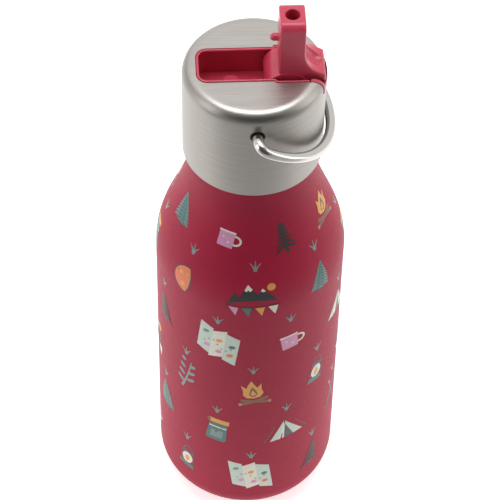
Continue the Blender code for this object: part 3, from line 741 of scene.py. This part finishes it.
def full_fir(ink="teal", shade="pine", height=20, width=12, tiers=9):
    """A bushy fir: ragged sides, a short trunk, and light and dark strokes for its needles."""
    right = []
    for i in range(tiers):
        y = height * (0.5 - 0.86 * i / tiers)
        t = (i + 1) / tiers
        reach = width / 2 * (1.45 * t - 0.5 * t**3)
        right += [(reach, y - 0.80 * height / tiers), (reach * 0.70, y - 0.74 * height / tiers),
                  (reach * 0.86, y - 0.98 * height / tiers)]
    right[-1] = (width * 0.16, height * -0.37)
    outline = [(0, height / 2)] + right + [(-x, y + 0.02 * height) for x, y in right[::-1]]
    shapes = [(shade, stroke([(0, -0.36 * height), (0, -0.5 * height)], 1.0)), (ink, outline)]
    for i in range(1, tiers):
        y = height * (0.47 - 0.86 * i / tiers)
        t = i / tiers
        reach = width / 2 * (1.45 * t - 0.5 * t**3)
        for side in (-1, 1):
            x = side * reach
            shapes.append((shade, sweep((0.1 * x, y + 0.5), (0.4 * x, y), (0.6 * x, y - 1.1), 0.6)))
            shapes.append(("mist", sweep((0.5 * x, y + 0.9), (0.8 * x, y + 0.5), (1.06 * x, y - 0.5), 0.6)))
    return shapes


def tent():
    """A plain ridge tent seen from its open end, with a guy line on each side."""
    return [("slate", stroke([(-5.0, 4.0), (-10.5, -6.0)], 0.4)),
            ("slate", stroke([(5.0, 4.0), (10.5, -6.0)], 0.4)),
            ("mint", [(0, 7.0), (8.0, -6.0), (-8.0, -6.0)]), ("slate", [(0, 4.4), (3.2, -6.0), (-3.2, -6.0)]),
            ("cream", [(0, 4.4), (-1.4, -6.0), (-4.4, -6.0)]), ("pine", stroke([(0, 8.4), (0, 4.4)], 0.6))]


def rucksack():
    """A tall rucksack with a rolled mat on top and one front pocket."""
    return [("ochre", stroke([(-4.6, 7.4), (4.6, 7.4)], 3.0)), ("brown", ellipse(-4.6, 7.4, 1.6, 3.0)),
            ("teal", [(-4.0, 5.6), (4.0, 5.6), (4.8, -6.0), (3.8, -7.2), (-3.8, -7.2), (-4.8, -6.0)]),
            ("mist", [(-2.8, 0.4), (2.8, 0.4), (2.8, -5.0), (-2.8, -5.0)]),
            ("cream", stroke([(-4.0, 3.0), (4.0, 3.0)], 0.8))]


def mug():
    """An enamel mug with a light rim."""
    handle = bezier((3.6, 2.4), (8.0, 2.8), (8.0, -2.8), (3.6, -2.2), 12)
    return [("cream", stroke(handle, 1.0)), ("pink", [(-3.9, 4.0), (3.9, 4.0), (3.6, -4.4), (-3.6, -4.4)]),
            ("cream", stroke([(-4.1, 4.0), (4.1, 4.0)], 0.9)), ("cream", ellipse(-1.4, 0.8, 0.9, 0.9)),
            ("cream", ellipse(1.2, -1.4, 0.9, 0.9))]


def campfire():
    """A fire of three flames over crossed logs."""
    flame = [(-4.4, -1.2), (-4.0, 1.8), (-4.6, 5.6), (-2.4, 3.2), (-1.6, 5.4), (0.2, 8.6), (1.6, 5.0),
             (2.4, 3.4), (4.4, 6.2),
             (4.0, 2.2), (4.6, -0.6), (3.0, -3.2), (0.2, -4.0), (-3.0, -3.4)]
    core = [(-1.8, -1.2), (-1.0, 1.8), (0.2, 4.4), (1.6, 1.6), (2.0, -1.0), (0.6, -2.8), (-1.0, -2.6)]
    logs = [("brown", stroke([(-6.4, -8.0), (6.2, -4.4)], 1.8)),
            ("brown", stroke([(-6.0, -5.0), (6.4, -7.6)], 1.8)),
            ("sand", ellipse(-6.4, -8.0, 1.5, 1.9)), ("sand", ellipse(6.6, -7.6, 1.5, 1.9))]
    heart = [(x * 0.55, y * 0.55 - 0.4) for x, y in core]
    return logs + [("ochre", flame), ("brown", core), ("ochre", heart)]


def folded_map():
    """A three-fold trail map with a dotted path and a few coloured fields."""
    shapes = []
    for i, (x, dy) in enumerate(((-6.0, 1.6), (0.0, 0.0), (6.0, -1.6))):
        slant = 1.2 if i % 2 else -1.2
        sheet = [(x - 3.0, 9.0 + dy - slant), (x + 3.0, 9.0 + dy + slant), (x + 3.0, -9.0 + dy + slant),
                 (x - 3.0, -9.0 + dy - slant)]
        shapes.append(("cream" if i % 2 else "mint", sheet))
    fields = ((-6.0, 6.0, "mist"), (-4.6, -3.0, "pink"), (0.4, 2.6, "ochre"), (1.0, -5.0, "pink"),
              (6.2, 0.4, "teal"), (6.0, -5.6, "orange"))
    for x, y, ink in fields:
        shapes.append((ink, ellipse(x, y, 3.0, 2.2, 20, 10)))
    for i in range(7):
        shapes.append(("brown", ellipse(-6.0 + 2.0 * i, 2.6 * math.sin(i) - 0.6, 0.8, 0.6, 0, 6)))
    return shapes


def peaks():
    """A dark mountain range with a row of four coloured pennants under it."""
    shapes = [("black", [(-13.5, -1.5), (-9.4, 5.2), (-7.2, 2.4), (-2.4, 9.8), (1.6, 3.2), (4.2, 6.6),
                         (10.8, -2.6), (4.0, -1.0),
                         (-2.0, -0.2), (-8.0, -0.4)]),
              ("cream", [(-4.4, 6.6), (-2.4, 9.8), (-0.5, 6.7), (-1.7, 5.5), (-2.7, 6.6), (-3.6, 5.6)]),
              ("cream", [(3.2, 5.1), (4.2, 6.6), (5.6, 4.7), (4.4, 4.3)]),
              ("ochre", ellipse(8.6, 6.4, 4.2, 4.2))]
    pennants = ((-10.6, -5.6, "pink"), (-4.6, -6.6, "teal"), (1.6, -7.0, "ochre"), (7.8, -7.6, "cream"))
    for x, y, ink in pennants:
        shapes.append((ink, [(x - 2.4, y + 2.4), (x + 2.4, y + 1.8), (x + 0.3, y - 4.2)]))
    shapes.append(("black", stroke(bezier((-14.2, -2.6), (-6.0, -5.2), (4.0, -4.8), (11.4, -5.4), 12), 0.5)))
    return shapes


def sprig(ink="mist"):
    """Three blades of grass."""
    return [(ink, sweep((0, -1.6), (side * 0.6, 0.4), (side * 2.0, 1.6 + (side == 0)), 0.9))
            for side in (-1, 0, 1)]


def lantern():
    """A storm lantern with a carrying bail."""
    return [("slate", stroke(bezier((-3.2, 3.0), (-3.0, 10.4), (3.0, 10.4), (3.2, 3.0), 10), 0.6)),
            ("slate", [(-2.6, 5.0), (2.6, 5.0), (3.4, 3.2), (-3.4, 3.2)]),
            ("cream", ellipse(0, -0.6, 6.0, 8.0)),
            ("ochre", ellipse(0, -1.0, 2.4, 4.6)),
            ("teal", [(-3.8, -4.4), (3.8, -4.4), (4.4, -7.2), (-4.4, -7.2)]),
            ("slate", stroke([(-3.2, 3.2), (-3.6, -4.4)], 0.5)),
            ("slate", stroke([(3.2, 3.2), (3.6, -4.4)], 0.5))]


def walking_poles():
    """A pair of crossed walking poles."""
    shapes = []
    for side, ink in ((-1, "teal"), (1, "mist")):
        top, foot = (side * 4.2, 9.0), (-side * 4.6, -9.4)
        shapes += [(ink, stroke([top, foot], 0.9, 0.5)), ("sand", stroke([top, (side * 3.2, 6.6)], 1.7, 1.3)),
                   ("slate", ellipse(-side * 3.8, -7.6, 2.6, 1.2, side * 10))]
    return shapes


def moon():
    """A half moon with a dark rim and three small craters."""
    face = arc((0, 0), 8.0, 90, 270, 24) + bezier((0, -8.0), (2.4, -4.0), (2.4, 4.0), (0, 8.0), 8)[1:-1]
    rim = arc((0, 0), 8.6, 88, 272, 24) + bezier((0.4, -8.6), (3.4, -4.0), (3.4, 4.0), (0.4, 8.6), 8)[1:-1]
    places = ((-4.4, 2.6, 2.2), (-2.0, -3.6, 2.8), (-0.6, 3.8, 1.6))
    craters = [("ochre", ellipse(x, y, size, size)) for x, y, size in places]
    return [("pine", rim), ("orange", face)] + craters


def shrub():
    """A leaning shrub of rounded leaves."""
    shapes = [("mist", sweep((-1.5, -11.0), (1.0, -2.0), (1.5, 10.0), 1.4, 0.5, 10))]
    for i in range(7):
        y = -7.0 + 2.6 * i
        side = 1 if i % 2 else -1
        shapes.append(("mist", ellipse(side * 2.6, y + 1.4, 5.2 - 0.4 * i, 2.0, side * 38, 12)))
    return shapes


# The print's staggered rows: the height of each row's middle in mm, and what it repeats round the body
MOTIF_ROWS = (
    (25, (folded_map, open_fir, mug, lantern)),
    (51, (tent, walking_poles, full_fir, rucksack)),
    (77, (campfire, lantern, peaks, shrub)),
    (103, (mug, tent, open_fir, folded_map)),
    (129, (peaks, full_fir, rucksack, moon)),
    (151, (open_fir, campfire, full_fir, mug)),
)
MOTIFS_PER_ROW = 8
MOTIF_LEAN = 7
SPRIG_DROP = 13
WALL_SIZE = 0.82
SHOULDER_SIZE = 0.72


def surface_table():
    """The painted outside as (length along the profile, radius, height, outward normal), from the base up."""
    profile = outer_profile()[6:][::-1]
    rows, length = [], 0.0
    for i, (radius, height) in enumerate(profile):
        if i:
            length += math.dist(profile[i - 1], (radius, height))
        before, after = profile[max(i - 1, 0)], profile[min(i + 1, len(profile) - 1)]
        run = math.dist(before, after)
        rows.append((length, radius, height, (after[1] - before[1]) / run, (before[0] - after[0]) / run))
    return rows


def on_surface(rows, length):
    """The radius, height and normal at a length along the profile."""
    for low, high in zip(rows, rows[1:]):
        if length <= high[0]:
            break
    share = (length - low[0]) / (high[0] - low[0])
    return [a + (b - a) * share for a, b in zip(low[1:], high[1:])]


def length_at(rows, height):
    """The length along the profile at which the body is at a height."""
    for low, high in zip(rows, rows[1:]):
        if height <= high[2]:
            break
    return low[0] + (high[0] - low[0]) * (height - low[2]) / (high[2] - low[2])


def placed(shapes, turn, size, rows, angle, height):
    """A motif's outlines turned and moved to their place, as lengths round the body and along its profile."""
    spin = math.radians(turn)
    middle = length_at(rows, height * MM)
    radius = on_surface(rows, middle)[0]
    side, scale = math.radians(angle) * radius, size * MM
    return radius, [(ink, [(side + scale * (x * math.cos(spin) - y * math.sin(spin)),
                            middle + scale * (x * math.sin(spin) + y * math.cos(spin))) for x, y in outline])
                    for ink, outline in shapes]


def motif_layout(rows):
    """Every motif in its place, with a sprig of grass between neighbours."""
    step = 360 / MOTIFS_PER_ROW
    for row, (height, motifs) in enumerate(MOTIF_ROWS):
        size = SHOULDER_SIZE if height * MM > WALL_TOP_Z else WALL_SIZE
        for i in range(MOTIFS_PER_ROW):
            angle = step * (i + row % 2 / 2) - 180
            lean = MOTIF_LEAN * (-1) ** i
            yield placed(motifs[i % len(motifs)](), lean, size, rows, angle, height)
            if row < len(MOTIF_ROWS) - 1:
                yield placed(sprig(), 0, 1, rows, angle, height + SPRIG_DROP)


def make_print(ink):
    """All motifs as thin films of ink that follow the body, each later shape a little over the one before."""
    rows = surface_table()
    work = bmesh.new()
    colour_layer = work.loops.layers.float_color.new("ink")
    cell = 2.0 * MM
    for middle_radius, outlines in motif_layout(rows):
        for order, (name, outline) in enumerate(outlines):
            step = order if len(outlines) <= 16 else min(order, 2) + order % 2
            film_level = (0.03 + 0.006 * step) * MM
            film = bmesh.new()
            film.faces.new([film.verts.new((x, y, 0)) for x, y in outline])
            bmesh.ops.triangulate(film, faces=film.faces)
            for axis in (0, 1):
                normal = Vector((1, 0, 0)) if axis == 0 else Vector((0, 1, 0))
                values = [v.co[axis] for v in film.verts]
                first, last = math.ceil(min(values) / cell), math.floor(max(values) / cell)
                for k in range(first, last + 1):
                    everything = film.verts[:] + film.edges[:] + film.faces[:]
                    bmesh.ops.bisect_plane(film, geom=everything, plane_co=normal * k * cell, plane_no=normal,
                                           dist=0.001 * MM)
            base = film.faces[:]
            for face in base:
                face.normal_update()
                if face.normal.z < 0:
                    face.normal_flip()
            top = bmesh.ops.extrude_face_region(film, geom=base)["geom"]
            raised = {v for v in top if isinstance(v, bmesh.types.BMVert)}
            bmesh.ops.reverse_faces(film, faces=[f for f in base if f.is_valid])
            for point in film.verts:
                level = film_level if point in raised else -0.03 * MM
                radius, z, out_r, out_z = on_surface(rows, point.co.y)
                theta = point.co.x / middle_radius
                reach = radius + out_r * level
                point.co = (reach * math.sin(theta), -reach * math.cos(theta), z + out_z * level)
            mesh = bpy.data.meshes.new("film")
            film.to_mesh(mesh)
            film.free()
            before = len(work.faces)
            work.from_mesh(mesh)
            bpy.data.meshes.remove(mesh)
            work.faces.ensure_lookup_table()
            for face in work.faces[before:]:
                for corner in face.loops:
                    corner[colour_layer] = (*INKS[name], 1)
    bmesh.ops.recalc_face_normals(work, faces=work.faces)
    mesh = bpy.data.meshes.new("camping_print")
    work.to_mesh(mesh)
    work.free()
    return finished(link("camping_print", mesh), ink, "bottle", [], 60)


# ---------------------------------------------------------------- the studio


def make_studio():
    """A pale floor and sky, both dimmer in front of the bottle, and three soft lights. The floor glows with
    painted light, less in front, and its colour is painted darker in front as painted shade.
    """
    floor_mesh = bpy.data.meshes.new("floor")
    work = bmesh.new()
    bmesh.ops.create_circle(work, cap_ends=True, segments=64, radius=3.0)
    work.to_mesh(floor_mesh)
    work.free()
    floor = link("floor", floor_mesh)
    floor.location.z = -0.2 * MM
    pale = Finish("pale_floor", (0.90, 0.90, 0.90), 0.8)
    pale.set("Roughness", pale.ramp(pale.noise(30, 2), 0.75, 0.85))
    pale.shader.inputs["Emission Color"].default_value = (1, 1, 1, 1)
    parts = pale.tree.nodes.new("ShaderNodeSeparateXYZ")
    pale.tree.links.new(pale.coordinates.outputs["Object"], parts.inputs["Vector"])
    # Painted light: the floor glows, weakly in front of the bottle and up to FLOOR_GLOW behind it.
    pale.set("Emission Strength", pale.ramp(parts.outputs["Y"], 0.12, FLOOR_GLOW, -0.17, -0.055))
    # Painted shade: the floor's colour is grey in front of the bottle and pale further back.
    front_shade_fade = pale.ramp(parts.outputs["Y"], 0, 1, -0.17, -0.055)
    pale.set("Base Color", pale.blend(front_shade_fade, (0.50, 0.50, 0.50), (0.90, 0.90, 0.90)))
    floor_mesh.materials.append(pale.material)
    world = bpy.data.worlds.new("studio")
    bpy.context.scene.world = world
    world.use_nodes = True
    tree = world.node_tree
    sky = tree.nodes["Background"]
    direction = tree.nodes.new("ShaderNodeTexCoord")
    towards = tree.nodes.new("ShaderNodeVectorMath")
    towards.operation = "DOT_PRODUCT"
    towards.inputs[1].default_value = DARK_SIDE
    fade = tree.nodes.new("ShaderNodeMapRange")
    limits = (("From Min", 0.15), ("From Max", 0.85), ("To Min", SKY_STRENGTH), ("To Max", SKY_DARK))
    for socket, number in limits:
        fade.inputs[socket].default_value = number
    tree.links.new(direction.outputs["Generated"], towards.inputs[0])
    tree.links.new(towards.outputs["Value"], fade.inputs["Value"])
    tree.links.new(fade.outputs["Result"], sky.inputs["Strength"])
    sky.inputs["Color"].default_value = (1.0, 1.0, 1.0, 1)
    target = Vector((0, 0, 110 * MM))
    for name, place, width, height, power in LIGHTS:
        light = bpy.data.lights.new(name, "AREA")
        light.shape = "RECTANGLE"
        light.size, light.size_y = width, height
        light.energy = power
        lamp = bpy.data.objects.new(name, light)
        bpy.context.scene.collection.objects.link(lamp)
        lamp.location = place
        lamp.rotation_euler = (target - Vector(place)).to_track_quat("-Z", "Y").to_euler()


SKY_STRENGTH = 0.95
SKY_DARK = 0.10
DARK_SIDE = (-0.04, -0.87, 0.49)
# Painted light: how strongly the floor glows behind the bottle.
FLOOR_GLOW = 0.62
LIGHTS = (
    ("left_softbox", (-0.75, -0.25, 0.45), 0.4, 0.8, 1.5),
    ("right_softbox", (0.80, -0.10, 0.45), 0.4, 0.8, 1.3),
    ("top_softbox", (0.0, 0.06, 1.15), 0.9, 0.40, 4.6),
)


def make_camera():
    """A long lens looking down at the bottle's front, with the bottle leaning slightly in the frame."""
    elevation = math.radians(51.656)
    azimuth = math.radians(-4.0)
    distance = 811.9 * MM
    roll = math.radians(1.40)
    target = Vector((0, 0, 94.25 * MM))
    level = math.cos(elevation)
    back = Vector((math.sin(azimuth) * level, -math.cos(azimuth) * level, math.sin(elevation)))
    camera = bpy.data.cameras.new("camera")
    camera.sensor_width = 36
    camera.lens = 165.2
    camera.shift_x = 0.0022
    camera.shift_y = 0.0805
    camera.clip_start = 0.01
    holder = bpy.data.objects.new("camera", camera)
    bpy.context.scene.collection.objects.link(holder)
    turn = (-back).to_track_quat("-Z", "Y").to_matrix().to_4x4()
    holder.matrix_world = Matrix.Translation(target + back * distance) @ turn @ Matrix.Rotation(roll, 4, "Z")
    bpy.context.scene.camera = holder


def dress_frame_nodes(finishes):
    """Gives each piece kept from the frame its finish."""
    for node, finish in finishes.items():
        slots = frame["nodes"][node].data.materials
        slots.clear()
        slots.append(finish)


def main():
    make_camera()
    make_studio()
    coat = powder_coat()
    cap_steel = brushed_steel("cap_steel", 0.35, 0.06)
    plain_steel = brushed_steel("inner_steel", 0.32, 0.05)
    wire_steel = polished_steel()
    plastic = spout_plastic()
    make_painted_body(coat)
    make_neck(plain_steel)
    make_base_disc(coat)
    make_steel_cap(cap_steel)
    make_spout_tray(plastic)
    make_flip_spout(plastic)
    make_wire_ring(wire_steel)
    make_print(printing_ink())
    milky = moulded("liner_plastic", (0.72, 0.72, 0.70), 0.45)
    dark = moulded("bushing_plastic", (0.05, 0.05, 0.05), 0.5)
    silicone = moulded("silicone", (0.74, 0.73, 0.71), 0.6, 2400)
    straw = moulded("straw_plastic", (0.82, 0.84, 0.85), 0.3, 1200, Transmission_Weight=0.5)
    dress_frame_nodes({
        "inner_vessel": plain_steel, "vacuum_seal_plug": plain_steel, "getter": plain_steel,
        "threaded_liner": milky,
        "straw_socket": milky, "ring_bushing_front": dark, "ring_bushing_back": dark, "cap_gasket": silicone,
        "spout_seal": silicone, "vent_grommet": silicone, "straw": straw, "hinge_pin": wire_steel,
    })
    bpy.context.scene.view_settings.view_transform = "Standard"


main()
